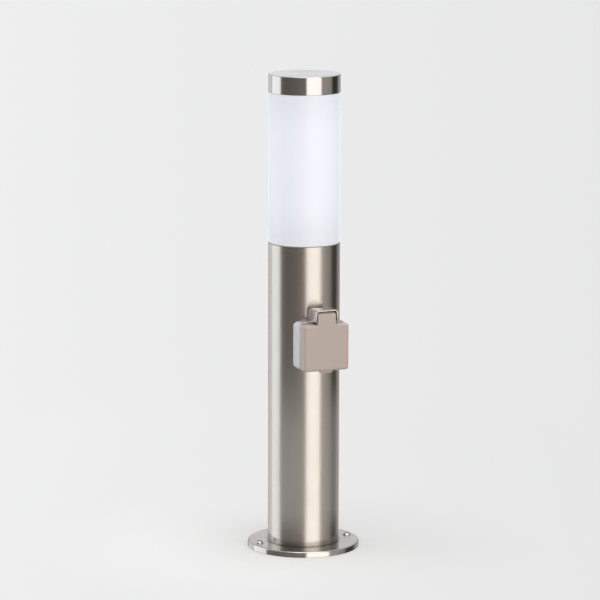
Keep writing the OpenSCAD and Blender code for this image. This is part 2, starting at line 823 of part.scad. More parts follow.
// Opal tube with a spigot at each end
module lamp_cover() {
    color("white") rotate_extrude() {
        translate([cover_r - cover_wall, cover_z]) square([cover_wall, cover_h]);
        translate([spigot_r - spigot_wall, post_top - spigot_l])
            square([spigot_wall, spigot_l + seam_t + ring_lap]);
        translate([neck_r - spigot_wall, cover_top - ring_lap])
            square([spigot_wall, neck_top - cover_top + ring_lap]);
    }
}

// Flat ring between the post's rim and the cover's shoulder
module seam_gasket() {
    color("dimgray") translate([0, 0, post_top]) ring(cover_r - seam_setback, spigot_r + fit_gap, seam_t);
}

// Drawn cap over the cover's upper ring
module top_cap() {
    color("silver") translate([0, 0, cover_top]) rotate_extrude() difference() {
        eased_edge(post_r, cap_h, cap_ease);
        translate([-past, -past]) square([cap_bore_r + past, cap_h - cap_wall + past]);
    }
}

// Flat ring between the cover's upper end and the cap
module cap_gasket() {
    color("dimgray") translate([0, 0, neck_top]) ring(neck_r, neck_r - spigot_wall, cap_gasket_t);
}

// Wires

// Live and neutral on one side each: from a pole of the terminal block, and on to the lamp
module side_wires(side) {
    wire(route(side * lead_x, socket_z - lead_y, -1, [side * pole_pitch, wire_y, pole_z]));
    wire(route(side * lead_x, socket_z + lead_y, 1, [side * lamp_end_x, 0, lamp_end_z]));
}

module live_wires() {
    color("saddlebrown") side_wires(-1);
}

module neutral_wires() {
    color("royalblue") side_wires(1);
}

// From the middle pole to the socket, and from the socket to the earth screw
module earth_wires() {
    color("yellowgreen") {
        wire(route(-earth_lead_x, socket_z - earth_lead_y, -1, [0, wire_y, pole_z]));
        wire(route(earth_lead_x, socket_z - earth_lead_y, -1, [earth_screw_x, bond_y, bond_z], bond_bend));
    }
}

// Socket

// Box that carries the socket: hollow behind to sit on the tube, stepped in front for the insert
module socket_saddle() {
    color("lightsteelblue") difference() {
        at_socket() difference() {
            translate([0, saddle_y, saddle_back]) linear_extrude(saddle_front - saddle_back)
                rounded_square(saddle_w, saddle_h, saddle_corner);
            cylinder(r = well_hole_r, h = saddle_front + past);
            translate([0, 0, saddle_front - collar_t])
                cylinder(r = collar_r + fit_gap, h = collar_t + past);
            at_corners() screw_hole(fix_d, saddle_front + past);
        }
        translate([0, 0, socket_z - saddle_h]) cylinder(r = seat_r, h = 2 * saddle_h);
    }
}

// Curved sheet of rubber between the socket box and the tube
module saddle_gasket() {
    sheet_w = saddle_w - 2 * saddle_gasket_inset;
    sheet_h = saddle_h - 2 * saddle_gasket_inset;
    color("dimgray") intersection() {
        translate([0, 0, socket_z - saddle_h]) ring(seat_r, post_r, 2 * saddle_h);
        at_socket() linear_extrude(seat_r + past) difference() {
            translate([0, saddle_y])
                rounded_square(sheet_w, sheet_h, saddle_corner - saddle_gasket_inset);
            circle(post_hole_r);
            at_corners() circle(d = fix_d + 2 * screw_gap);
        }
    }
}

// Front view of a strip w wide that stands on foot, its upper corners round
module arch(w, foot, top, bend) {
    difference() {
        translate([-w / 2, foot]) square([w, top - foot]);
        for (side = [-1, 1])
            translate([side * (w / 2 - bend), top - bend]) mirror([1 - side, 0]) corner_cut(bend);
    }
}

// Side view of the hood: it stands on the box behind, and its front foot stands free
module hood_outline() {
    difference() {
        translate([hood_back, saddle_top]) square([hood_front - hood_back, hood_top - saddle_top]);
        translate([hood_front - hood_corner, hood_top - hood_corner]) corner_cut(hood_corner);
        translate([hood_back + hood_round, hood_top - hood_round]) mirror([1, 0]) corner_cut(hood_round);
        polygon([[flange_front, saddle_top - past], [flange_front, socket_top],
                 [hood_front + past, socket_top + ear_foot], [hood_front + past, saddle_top - past]]);
    }
}

// Flange round the recess, with the hinge hood above it
module socket_flange() {
    color("tan") at_socket() difference() {
        union() {
            translate([0, 0, saddle_front]) linear_extrude(socket_flange_t)
                rounded_square(socket_w, socket_h, socket_corner);
            intersection() {
                across_depth(hood_w) hood_outline();
                linear_extrude(hood_front + past) arch(hood_w, saddle_top, hood_top, hood_bend);
            }
        }
        translate([0, 0, web_front]) linear_extrude(hood_front - web_front + past)
            arch(cavity_w, socket_top, roof_y, hood_bend - ear_t);
        translate([0, pin_y, pin_d]) rotate([0, 90, 0])
            cylinder(d = hinge_pin_d + 2 * hinge_fit, h = cavity_w + 2 * pin_seat, center = true);
        translate([0, 0, saddle_front - past]) cylinder(r = recess_r, h = socket_flange_t + 2 * past);
        translate([0, 0, flange_front - recess_chamfer])
            cylinder(r1 = recess_r, r2 = recess_r + 2 * recess_chamfer, h = 2 * recess_chamfer);
        at_corners() {
            screw_hole(fix_d, flange_front + past);
            translate([0, 0, flange_front]) csk_head(screw_gap);
        }
    }
}

// Countersunk head below z = 0, grown by a gap
module csk_head(gap) {
    head_r = fix_head_d / 2;
    sink = head_r - fix_d / 2;
    translate([0, 0, -sink - gap]) cylinder(r1 = fix_d / 2, r2 = head_r + gap, h = sink + gap);
}

// Four countersunk screws through flange, box and tube
module socket_screws() {
    color("gainsboro") at_socket() at_corners() difference() {
        union() {
            translate([0, 0, fix_end]) cylinder(d = fix_d, h = flange_front - fix_end);
            translate([0, 0, flange_front]) csk_head(0);
        }
        translate([0, 0, flange_front]) driver_slot(fix_head_d);
    }
}

// Round well with a collar in front, guide ribs at its sides and holes in its floor
module socket_insert() {
    rib_mid = (recess_floor + saddle_front) / 2;
    color("dimgray") at_socket() difference() {
        union() {
            translate([0, 0, floor_back]) ring(well_r, recess_r, saddle_front - floor_back);
            translate([0, 0, floor_back]) cylinder(r = recess_r + well_wall / 2, h = floor_t);
            translate([0, 0, saddle_front - collar_t]) ring(collar_r, recess_r + well_wall / 2, collar_t);
            for (side = [-1, 1])
                translate([side * (recess_r - rib_in / 2 + well_wall / 4), 0, rib_mid])
                    cube([rib_in + well_wall / 2, rib_w, saddle_front - recess_floor], center = true);
        }
        for (side = [-1, 1]) {
            translate([side * pin_pitch / 2, 0, 0]) cylinder(d = pin_hole_d, h = saddle_front);
            translate([0, side * (finger_y + earth_t / 2), recess_floor - floor_t / 2])
                cube([earth_w + 2 * fit_gap, earth_t + 2 * fit_gap, floor_t + past], center = true);
        }
        screw_hole(insert_screw_d, saddle_front);
    }
}

// Insulating block behind the recess floor, bored for sleeves, screws and wires
module contact_base() {
    color("whitesmoke") at_socket() difference() {
        translate([0, 0, contact_back]) intersection() {
            cylinder(d = contact_d, h = contact_l);
            translate([-contact_d / 2, -contact_h / 2, 0]) cube([contact_d, contact_h, contact_l]);
        }
        for (side = [-1, 1]) {
            translate([side * pin_pitch / 2, 0, sleeve_back]) screw_hole(sleeve_d, contact_l);
            for (end = [-1, 1])
                translate([side * pin_pitch / 2, end * lead_y, contact_back - past])
                    cylinder(d = wire_hole_d, h = lead_depth + past);
            translate([side * earth_lead_x, -earth_lead_y, contact_back - past])
                cylinder(d = wire_hole_d, h = lead_depth + past);
        }
        translate([-earth_w / 2 - fit_gap, -contact_d / 2, strap_back])
            cube([earth_w + 2 * fit_gap, contact_d, contact_l]);
        at_contact_screws() translate([0, 0, -contact_screw_l])
            screw_hole(contact_screw_d, contact_screw_l + past);
        translate([0, 0, contact_back + lead_depth]) screw_hole(insert_screw_d, contact_l);
    }
}

// Two brass sleeves that take the plug's pins, closed behind
module pin_contacts() {
    color("goldenrod") at_socket() for (side = [-1, 1])
        translate([side * pin_pitch / 2, 0, sleeve_back]) difference() {
            cylinder(d = sleeve_d, h = sleeve_l);
            translate([0, 0, sleeve_d - sleeve_bore]) cylinder(d = sleeve_bore, h = sleeve_l);
        }
}

// Strap behind the floor whose two ends come up through it as earth springs
module earth_clip() {
    tip = saddle_front - earth_tip;
    bulge = (recess_floor + tip) / 2;
    rise = recess_floor + earth_t;
    inner = [[floor_back, 0], [rise, 0], [bulge, -earth_bulge], [tip, 0]];
    outer = [[tip, earth_t], [bulge, earth_t - earth_bulge], [rise, earth_t], [strap_back, earth_t]];
    upper = [for (p = concat(inner, outer)) [p.x, finger_y + p.y]];
    lower = [for (i = [len(upper) - 1 : -1 : 0]) [upper[i].x, -upper[i].y]];
    color("goldenrod") at_socket() difference() {
        across_depth(earth_w) polygon(concat(upper, lower));
        cylinder(d = insert_screw_d + 2 * fit_gap, h = saddle_front);
    }
}

// Middle screw that draws insert, strap and contact base together
module insert_screw() {
    color("gainsboro") at_socket() translate([0, 0, recess_floor])
        pan_screw(insert_screw_d, recess_floor - contact_back - lead_depth - fit_gap,
                  insert_head_d, insert_head_h);
}

// Three screws at the back of the contact base
module at_contact_screws() {
    for (place = [[-pin_pitch / 2, 0], [pin_pitch / 2, 0], [0, -earth_screw_y]])
        translate([place.x, place.y, contact_back]) mirror([0, 0, 1]) children();
}

module contact_screws() {
    color("khaki") at_socket() at_contact_screws()
        pan_screw(contact_screw_d, contact_screw_l, contact_head_d, contact_head_h);
}

// Hinge

// Pin through the lid's knuckles, its ends seated in the hood's ears
module hinge_pin() {
    color("gainsboro") at_socket() translate([0, pin_y, pin_d]) rotate([0, 90, 0])
        cylinder(d = hinge_pin_d, h = cavity_w + 2 * (pin_seat - fit_gap), center = true);
}

// Wire of the torsion spring, from its leg on the web round the pin to its leg on the tongue
function spring_point(angle) = [
    spring_rise * ((angle - spring_from) / (spring_to - spring_from) - 0.5),
    pin_y + spring_r * sin(angle),
    pin_d + spring_r * cos(angle)
];
spring_coil = let (count = ceil(spring_rings * (spring_to - spring_from) / 360))
    [for (i = [0 : count]) spring_point(spring_from + (spring_to - spring_from) * i / count)];
spring_first = spring_coil[0] + [0, 0, -spring_web_leg];
spring_last = spring_point(spring_to)
    + spring_tongue_leg * [0, cos(spring_to), -sin(spring_to)];
spring_path = concat([spring_first], spring_coil, [spring_last]);

// Least distance between turns, less the wire
spring_clear = min([
    for (i = [0 : len(spring_coil) - 1]) for (j = [i + spring_rings / 2 : len(spring_coil) - 1])
        norm(spring_coil[i] - spring_coil[j])
]) - spring_wire;
echo(least_gap_of_the_spring_to_itself = spring_clear);

module lid_spring() {
    color("gray") at_socket() swept_tube(spring_path, spring_wire, spring_sides);
}

// Lid

// Side view of the tongue that rises from the lid to the knuckle round the pin
module tongue_outline() {
    translate([lid_front - tongue_t, tongue_foot]) square([tongue_t, pin_y - tongue_foot]);
    translate([pin_d, pin_y]) circle(knuckle_r);
}

// Hollow flap with a finger tab, a tongue to the hinge and a ring that carries its seal
module lid() {
    color("tan") at_socket() {
        difference() {
            union() {
                translate([0, 0, lid_back]) eased_plate(socket_w, lid_h, lid_t, lid_corner, lid_ease);
                intersection() {
                    across_depth(tongue_w) tongue_outline();
                    linear_extrude(lid_front + past)
                        arch(tongue_w, tongue_foot, pin_y + knuckle_r, tongue_bend);
                }
                translate([0, 0, lid_front - lid_ease - tab_t]) linear_extrude(tab_t)
                    mirror([0, 1]) arch(tab_w, tongue_foot, lid_h / 2 + tab_l, tab_corner);
            }
            translate([0, 0, lid_back - past]) linear_extrude(lid_t - lid_wall + past)
                rounded_square(socket_w - 2 * lid_wall, lid_h - 2 * lid_wall, lid_corner - lid_wall);
            translate([0, pin_y, pin_d]) rotate([0, 90, 0]) {
                cylinder(d = hinge_pin_d + 2 * hinge_fit, h = tongue_w + 2 * past, center = true);
                cylinder(r = slot_r, h = slot_w, center = true);
            }
            translate([-slot_w / 2, pin_y - knuckle_r - past, pin_d - knuckle_r - past])
                cube([slot_w, 2 * (knuckle_r + past), knuckle_r + past]);
        }
        translate([0, 0, seal_back + seal_t])
            ring(seal_out_r, seal_in_r, lid_front - lid_wall - seal_back - seal_t);
    }
}

// Rubber ring that closes the recess
module lid_seal() {
    color("dimgray") at_socket() translate([0, 0, seal_back]) ring(seal_out_r, seal_in_r, seal_t);
}

base_flange();
base_screws();
ground_bracket();
post_tube();
terminal_bracket();
terminal_block();
terminal_screws();
cable_clamp();
bracket_screws();
lampholder_plate();
holder_nipple();
nipple_nut();
lampholder();
bulb_screw_cap();
bulb_body();
bulb_globe();
lamp_cover();
seam_gasket();
top_cap();
cap_gasket();
live_wires();
neutral_wires();
earth_wires();
socket_saddle();
saddle_gasket();
socket_flange();
socket_screws();
socket_insert();
contact_base();
pin_contacts();
earth_clip();
insert_screw();
contact_screws();
hinge_pin();
lid_spring();
lid();
lid_seal();
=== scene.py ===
# Garden socket post: finishes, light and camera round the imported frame.
import math

import bmesh
import bpy
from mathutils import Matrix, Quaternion, Vector


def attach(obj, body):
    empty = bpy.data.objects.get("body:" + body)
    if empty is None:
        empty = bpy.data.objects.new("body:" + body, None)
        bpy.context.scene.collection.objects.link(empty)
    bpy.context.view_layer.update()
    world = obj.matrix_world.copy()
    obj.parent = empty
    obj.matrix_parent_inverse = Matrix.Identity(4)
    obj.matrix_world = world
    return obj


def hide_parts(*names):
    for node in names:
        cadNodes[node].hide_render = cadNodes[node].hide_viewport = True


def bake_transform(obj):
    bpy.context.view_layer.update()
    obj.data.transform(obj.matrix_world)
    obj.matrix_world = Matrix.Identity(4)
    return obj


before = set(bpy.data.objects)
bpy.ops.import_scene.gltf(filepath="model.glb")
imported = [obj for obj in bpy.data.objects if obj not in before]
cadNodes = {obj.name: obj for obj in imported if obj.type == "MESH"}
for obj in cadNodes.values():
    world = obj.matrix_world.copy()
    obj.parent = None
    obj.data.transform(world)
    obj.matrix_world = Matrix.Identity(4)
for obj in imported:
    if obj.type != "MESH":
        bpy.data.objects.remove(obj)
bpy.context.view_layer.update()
scene = bpy.context.scene
scene.view_settings.view_transform = "Standard"
print("frame loaded:", len(cadNodes), "nodes")

# camera, worked out from the straight edges of the post
shot = {
    "focalPx": 3351.3,
    "framePx": 600.0,
    "sensorMm": 36.0,
    "turnDeg": 21.8,        # how far left of the socket's front it stands
    "reach": 3.5012,        # along the floor, from the post's axis
    "height": 0.8942,
    "dropDeg": 10.164,      # how far it looks down
    "leftOfAxis": 0.0042,
    "rollDeg": 0.16,
    "clipFrom": 0.1,
    "clipTo": 50.0,
}


def placeCamera():
    turn = math.radians(shot["turnDeg"])
    drop = math.radians(shot["dropDeg"])
    out = Vector((-math.sin(turn), -math.cos(turn), 0.0))
    right = Vector((math.cos(turn), -math.sin(turn), 0.0))
    data = bpy.data.cameras.new("photoCamera")
    data.sensor_width = shot["sensorMm"]
    data.lens = shot["focalPx"] / shot["framePx"] * shot["sensorMm"]
    data.clip_start, data.clip_end = shot["clipFrom"], shot["clipTo"]
    cam = bpy.data.objects.new("photoCamera", data)
    scene.collection.objects.link(cam)
    cam.location = out * shot["reach"] - right * shot["leftOfAxis"] + Vector((0, 0, shot["height"]))
    look = -out * math.cos(drop) - Vector((0, 0, math.sin(drop)))
    roll = Quaternion((0, 0, 1), math.radians(shot["rollDeg"]))
    cam.rotation_mode = "QUATERNION"
    cam.rotation_quaternion = look.to_track_quat("-Z", "Y") @ roll
    scene.camera = cam
    return out, right


towardCamera, cameraRight = placeCamera()
print("camera placed")


# shader node helpers
def addNode(tree, kind, values=None, **settings):
    node = tree.nodes.new(kind)
    for name, value in settings.items():
        setattr(node, name, value)
    for name, value in (values or {}).items():
        node.inputs[name].default_value = value
    return node


def wire(tree, out, into):
    tree.links.new(out, into)


# numbers and colours are set on the socket, anything else is wired to it
def feed(tree, value, into):
    if isinstance(value, (int, float)):
        into.default_value = value
    elif isinstance(value, tuple):
        into.default_value = (*value, 1.0)
    else:
        wire(tree, value, into)


def mathNode(tree, operation, *values):
    node = addNode(tree, "ShaderNodeMath", operation=operation)
    for i, value in enumerate(values):
        feed(tree, value, node.inputs[i])
    return node.outputs[0]


def mapRange(tree, value, low, high, toLow, toHigh, smooth=False):
    node = addNode(tree, "ShaderNodeMapRange", interpolation_type="SMOOTHSTEP" if smooth else "LINEAR")
    ends = {"Value": value, "From Min": low, "From Max": high, "To Min": toLow, "To Max": toHigh}
    for name, end in ends.items():
        feed(tree, end, node.inputs[name])
    return node.outputs["Result"]


def splitXyz(tree, vector):
    parts = addNode(tree, "ShaderNodeSeparateXYZ")
    wire(tree, vector, parts.inputs[0])
    return parts.outputs


def objectPlace(tree):
    return addNode(tree, "ShaderNodeTexCoord").outputs["Object"]


def fromAxis(tree, x, y):
    squares = [mathNode(tree, "MULTIPLY", part, part) for part in (x, y)]
    return mathNode(tree, "SQRT", mathNode(tree, "ADD", *squares))


def dotWith(tree, vector, other):
    node = addNode(tree, "ShaderNodeVectorMath", operation="DOT_PRODUCT")
    wire(tree, vector, node.inputs[0])
    if isinstance(other, Vector):
        node.inputs[1].default_value = other
    else:
        wire(tree, other, node.inputs[1])
    return node.outputs["Value"]


mixSockets = {"share": 0, "first": 6, "second": 7, "result": 2}     # of a Mix node that mixes colours


def mixColours(tree, share, first, second, blend="MIX"):
    node = addNode(tree, "ShaderNodeMix", data_type="RGBA", blend_type=blend)
    feed(tree, share, node.inputs[mixSockets["share"]])
    feed(tree, first, node.inputs[mixSockets["first"]])
    feed(tree, second, node.inputs[mixSockets["second"]])
    return node.outputs[mixSockets["result"]]


def toned(tree, colour, tone):
    return mixColours(tree, 1.0, colour, tone, "MULTIPLY")


def mixShaders(tree, share, first, second):
    node = addNode(tree, "ShaderNodeMixShader")
    wire(tree, share, node.inputs[0])
    wire(tree, first.outputs[0], node.inputs[1])
    wire(tree, second.outputs[0], node.inputs[2])
    return node


def newGroup(name, inputs, outputs):
    tree = bpy.data.node_groups.new(name, "ShaderNodeTree")
    for socketName, value in inputs.items():
        socket = tree.interface.new_socket(name=socketName, in_out="INPUT", socket_type="NodeSocketFloat")
        socket.default_value = value
    for socketName in outputs:
        tree.interface.new_socket(name=socketName, in_out="OUTPUT", socket_type="NodeSocketFloat")
    return tree, addNode(tree, "NodeGroupInput"), addNode(tree, "NodeGroupOutput")


def placeGroup(tree, group, values):
    return addNode(tree, "ShaderNodeGroup", values, node_tree=group)


# brushing round or along the post, with wider patches where the grit cut deeper
brushSet = {"patchesPerMetre": 34.0, "lineShare": 0.6, "patchShare": 0.4, "from": 0.35, "to": 0.65}


def buildBrushing():
    tree, start, end = newGroup(
        "postBrushing",
        {"Rings Per Metre": 3200.0, "Streaks Per Metre": 14.0, "Smooth": 0.2, "Rough": 0.3, "Shade": 0.06},
        ["Height", "Roughness", "Tone"])
    given = start.outputs
    place = objectPlace(tree)
    x, y, z = splitXyz(tree, place)
    across = mathNode(tree, "ADD", z, fromAxis(tree, x, y))
    stretched = addNode(tree, "ShaderNodeCombineXYZ")
    wire(tree, mathNode(tree, "MULTIPLY", x, given["Streaks Per Metre"]), stretched.inputs[0])
    wire(tree, mathNode(tree, "MULTIPLY", y, given["Streaks Per Metre"]), stretched.inputs[1])
    wire(tree, mathNode(tree, "MULTIPLY", across, given["Rings Per Metre"]), stretched.inputs[2])
    lines = addNode(tree, "ShaderNodeTexNoise", {"Scale": 1.0, "Detail": 4.0, "Roughness": 0.65})
    wire(tree, stretched.outputs[0], lines.inputs["Vector"])
    patches = addNode(tree, "ShaderNodeTexNoise",
                      {"Scale": brushSet["patchesPerMetre"], "Detail": 3.0, "Roughness": 0.55})
    wire(tree, place, patches.inputs["Vector"])
    mixed = mathNode(tree, "ADD", mathNode(tree, "MULTIPLY", lines.outputs[0], brushSet["lineShare"]),
                     mathNode(tree, "MULTIPLY", patches.outputs[0], brushSet["patchShare"]))
    rough = mapRange(tree, mixed, brushSet["from"], brushSet["to"], given["Smooth"], given["Rough"])
    darkest = mathNode(tree, "SUBTRACT", 1.0, given["Shade"])
    tone = mapRange(tree, mixed, brushSet["from"], brushSet["to"], 1.0, darkest)
    wire(tree, lines.outputs[0], end.inputs["Height"])
    wire(tree, rough, end.inputs["Roughness"])
    wire(tree, tone, end.inputs["Tone"])
    return tree


# fine spark-eroded grain of a plastic tool, with faint flow clouds
cloudSet = {"from": 0.25, "to": 0.75}


def buildGrain():
    tree, start, end = newGroup(
        "mouldGrain",
        {"Grains Per Metre": 2600.0, "Clouds Per Metre": 60.0, "Smooth": 0.4, "Rough": 0.5, "Shade": 0.05},
        ["Height", "Roughness", "Tone"])
    given = start.outputs
    place = objectPlace(tree)
    grain = addNode(tree, "ShaderNodeTexNoise", {"Detail": 2.0, "Roughness": 0.6})
    wire(tree, place, grain.inputs["Vector"])
    wire(tree, given["Grains Per Metre"], grain.inputs["Scale"])
    clouds = addNode(tree, "ShaderNodeTexNoise", {"Detail": 2.0, "Roughness": 0.45})
    wire(tree, place, clouds.inputs["Vector"])
    wire(tree, given["Clouds Per Metre"], clouds.inputs["Scale"])
    cloud = clouds.outputs[0]
    rough = mapRange(tree, cloud, cloudSet["from"], cloudSet["to"], given["Smooth"], given["Rough"])
    darkest = mathNode(tree, "SUBTRACT", 1.0, given["Shade"])
    tone = mapRange(tree, cloud, cloudSet["from"], cloudSet["to"], darkest, 1.0)
    wire(tree, grain.outputs[0], end.inputs["Height"])
    wire(tree, rough, end.inputs["Roughness"])
    wire(tree, tone, end.inputs["Tone"])
    return tree


# mask of the outer edges: rubbed wear on most pieces, a painted highlight on the hood's edges
edgeMaskSet = {"samples": 4, "from": 0.995, "full": 0.86}        # cosines between the true and the rounded normal


def buildEdgeWearHighlight():
    tree, start, end = newGroup("edgeRub", {"Width": 0.0006}, ["Mask"])
    rounded = addNode(tree, "ShaderNodeBevel", samples=edgeMaskSet["samples"])
    wire(tree, start.outputs["Width"], rounded.inputs["Radius"])
    flat = addNode(tree, "ShaderNodeNewGeometry")
    agree = dotWith(tree, rounded.outputs[0], flat.outputs["Normal"])
    mask = mapRange(tree, agree, edgeMaskSet["from"], edgeMaskSet["full"], 0.0, 1.0, smooth=True)
    wire(tree, mask, end.inputs["Mask"])
    return tree


# painted shade in the corner where the post stands on its flange
def buildJointShade():
    tree, start, end = newGroup(
        "jointShade", {"Radius": 0.038, "Height": 0.006, "Reach": 0.003, "Shade": 0.5}, ["Tone"])
    given = start.outputs
    x, y, z = splitXyz(tree, objectPlace(tree))
    out = mathNode(tree, "ABSOLUTE", mathNode(tree, "SUBTRACT", fromAxis(tree, x, y), given["Radius"]))
    up = mathNode(tree, "ABSOLUTE", mathNode(tree, "SUBTRACT", z, given["Height"]))
    away = mathNode(tree, "ADD", out, up)
    darkest = mathNode(tree, "SUBTRACT", 1.0, given["Shade"])
    tone = mapRange(tree, away, 0.0, given["Reach"], darkest, 1.0, smooth=True)
    wire(tree, tone, end.inputs["Tone"])
    return tree


brushing, grain, edgeRub, jointShade = buildBrushing(), buildGrain(), buildEdgeWearHighlight(), buildJointShade()
print("finish groups built")


# painted shade at both ends of the lamp cover, standing in for the rings behind its wall
def shadeEnds(tree, colour, ends):
    height = splitXyz(tree, objectPlace(tree))["Z"]
    fromLow = mathNode(tree, "SUBTRACT", height, ends["low"])
    fromHigh = mathNode(tree, "SUBTRACT", ends["high"], height)
    near = mathNode(tree, "MINIMUM", fromLow, fromHigh)
    tone = mapRange(tree, near, 0.0, ends["reach"], 1.0 - ends["shade"], 1.0, smooth=True)
    return toned(tree, colour, tone)


def wearAndHighlightEdges(tree, colour, rub):
    mask = placeGroup(tree, edgeRub, {"Width": rub["width"]}).outputs["Mask"]
    return mixColours(tree, mathNode(tree, "MULTIPLY", mask, rub["amount"]), colour, rub["colour"])


# painted shade in the recess behind a plate, darker towards the bottom
def shadeSeam(tree, colour, seam):
    place = splitXyz(tree, objectPlace(tree))
    ahead = mathNode(tree, "SUBTRACT", seam["back"], place["Y"])
    darkest = mapRange(tree, place["Z"], seam["low"], seam["high"], 1.0 - seam["shade"], 1.0)
    tone = mapRange(tree, ahead, 0.0, seam["reach"], darkest, 1.0, smooth=True)
    return toned(tree, colour, tone)


# faces that look up weather more than the sides
def satinExtra(tree, satin):
    upward = splitXyz(tree, addNode(tree, "ShaderNodeNewGeometry").outputs["Normal"])["Z"]
    return mapRange(tree, upward, satin["from"], satin["full"], 0.0, satin["extra"], smooth=True)


bumpDepth = 0.0001


def finish(name, look):
    material = bpy.data.materials.new(name)
    material.use_nodes = True
    tree = material.node_tree
    shader = tree.nodes["Principled BSDF"]
    shader.inputs["Metallic"].default_value = look.get("metallic", 0.0)
    for socket, value in look.get("shader", {}).items():
        shader.inputs[socket].default_value = value
    effect = placeGroup(tree, look["group"], look["values"])
    colour = toned(tree, look["colour"], effect.outputs["Tone"])
    if "ends" in look:
        colour = shadeEnds(tree, colour, look["ends"])
    # painted shade where the tube meets the flange
    if "joint" in look:
        colour = toned(tree, colour, placeGroup(tree, jointShade, look["joint"]).outputs["Tone"])
    if "rub" in look:
        colour = wearAndHighlightEdges(tree, colour, look["rub"])
    if "seam" in look:
        colour = shadeSeam(tree, colour, look["seam"])
    rough = effect.outputs["Roughness"]
    if "satinTop" in look:
        rough = mathNode(tree, "ADD", rough, satinExtra(tree, look["satinTop"]))
    wire(tree, colour, shader.inputs["Base Color"])
    wire(tree, rough, shader.inputs["Roughness"])
    bump = addNode(tree, "ShaderNodeBump", {"Strength": look["bump"], "Distance": bumpDepth})
    wire(tree, effect.outputs["Height"], bump.inputs["Height"])
    wire(tree, bump.outputs[0], shader.inputs["Normal"])
    if look.get("radial"):
        tangent = addNode(tree, "ShaderNodeTangent", direction_type="RADIAL", axis="Z")
        wire(tree, tangent.outputs[0], shader.inputs["Tangent"])
    return material


# metals
postSteel = finish("brushedSteel", {
    "colour": (0.535, 0.512, 0.486), "metallic": 1.0, "group": brushing, "bump": 0.05, "radial": True,
    "values": {"Rings Per Metre": 14.0, "Streaks Per Metre": 3200.0,
               "Smooth": 0.2, "Rough": 0.245, "Shade": 0.06},
    "joint": {"Reach": 0.0024, "Shade": 0.4},
    "shader": {"Anisotropic": 0.55, "Anisotropic Rotation": 0.0}})
flangeSteel = finish("flangeSteel", {
    "colour": (0.575, 0.552, 0.522), "metallic": 1.0, "group": brushing, "bump": 0.03, "radial": True,
    "values": {"Rings Per Metre": 2800.0, "Streaks Per Metre": 14.0,
               "Smooth": 0.12, "Rough": 0.2, "Shade": 0.05},
    "joint": {"Reach": 0.005, "Shade": 0.3},
    "satinTop": {"extra": 0.09, "from": 0.3, "full": 0.95},
    "shader": {"Anisotropic": 0.5, "Anisotropic Rotation": 0.25}})
capSteel = finish("polishedCap", {
    "colour": (0.57, 0.56, 0.55), "metallic": 1.0, "group": brushing, "bump": 0.02, "radial": True,
    "values": {"Rings Per Metre": 2400.0, "Streaks Per Metre": 14.0,
               "Smooth": 0.15, "Rough": 0.2, "Shade": 0.03},
    "shader": {"Anisotropic": 0.6, "Anisotropic Rotation": 0.25}})
screwSteel = finish("screwSteel", {
    "colour": (0.56, 0.552, 0.545), "metallic": 1.0, "group": grain, "bump": 0.04,
    "values": {"Grains Per Metre": 3000.0, "Smooth": 0.16, "Rough": 0.26, "Shade": 0.08}})
zincSheet = finish("zincSheet", {
    "colour": (0.55, 0.56, 0.57), "metallic": 1.0, "group": grain, "bump": 0.12,
    "values": {"Grains Per Metre": 700.0, "Smooth": 0.32, "Rough": 0.5, "Shade": 0.22}})
brass = finish("brass", {
    "colour": (0.72, 0.53, 0.24), "metallic": 1.0, "group": grain, "bump": 0.05,
    "values": {"Grains Per Metre": 2600.0, "Smooth": 0.2, "Rough": 0.34, "Shade": 0.12}})

# plastics and rubber
flapPlastic = finish("flapPlastic", {
    "colour": (0.363, 0.296, 0.255), "group": grain, "bump": 0.1,
    "values": {"Grains Per Metre": 2600.0, "Smooth": 0.36, "Rough": 0.46, "Shade": 0.04},
    "rub": {"width": 0.0006, "amount": 0.4, "colour": (0.58, 0.5, 0.45)}})
hoodPlastic = finish("hoodPlastic", {
    "colour": (0.33, 0.279, 0.263), "group": grain, "bump": 0.06,
    "values": {"Grains Per Metre": 2600.0, "Smooth": 0.08, "Rough": 0.14, "Shade": 0.04},
    "shader": {"Coat Weight": 1.0, "Coat Roughness": 0.04},
    # painted shade along the back edge of the socket's flange, darker towards the bottom
    "seam": {"back": -0.0495, "reach": 0.0045, "shade": 0.8, "low": 0.2, "high": 0.265},
    # painted highlight on the hood's edges, where they would catch the softbox
    "rub": {"width": 0.001, "amount": 1.0, "colour": (0.86, 0.79, 0.71)}})
boxPlastic = finish("boxPlastic", {
    "colour": (0.475, 0.5, 0.543), "group": grain, "bump": 0.1,
    "values": {"Grains Per Metre": 2600.0, "Smooth": 0.38, "Rough": 0.5, "Shade": 0.04},
    "rub": {"width": 0.0006, "amount": 0.3, "colour": (0.72, 0.73, 0.76)}})
insertPlastic = finish("insertPlastic", {
    "colour": (0.035, 0.036, 0.04), "group": grain, "bump": 0.12,
    "values": {"Grains Per Metre": 2200.0, "Smooth": 0.36, "Rough": 0.5, "Shade": 0.15},
    "rub": {"width": 0.0004, "amount": 0.25, "colour": (0.09, 0.09, 0.095)}})
holderWhite = finish("holderWhite", {
    "colour": (0.74, 0.73, 0.69), "group": grain, "bump": 0.08,
    "values": {"Grains Per Metre": 1600.0, "Smooth": 0.3, "Rough": 0.42, "Shade": 0.05}})
sealRubber = finish("sealRubber", {
    "colour": (0.03, 0.03, 0.032), "group": grain, "bump": 0.2,
    "values": {"Grains Per Metre": 1800.0, "Smooth": 0.6, "Rough": 0.78, "Shade": 0.2}})
seamRubber = finish("seamRubber", {
    "colour": (0.3, 0.285, 0.27), "group": grain, "bump": 0.05,
    "values": {"Grains Per Metre": 3200.0, "Smooth": 0.5, "Rough": 0.6, "Shade": 0.06}})
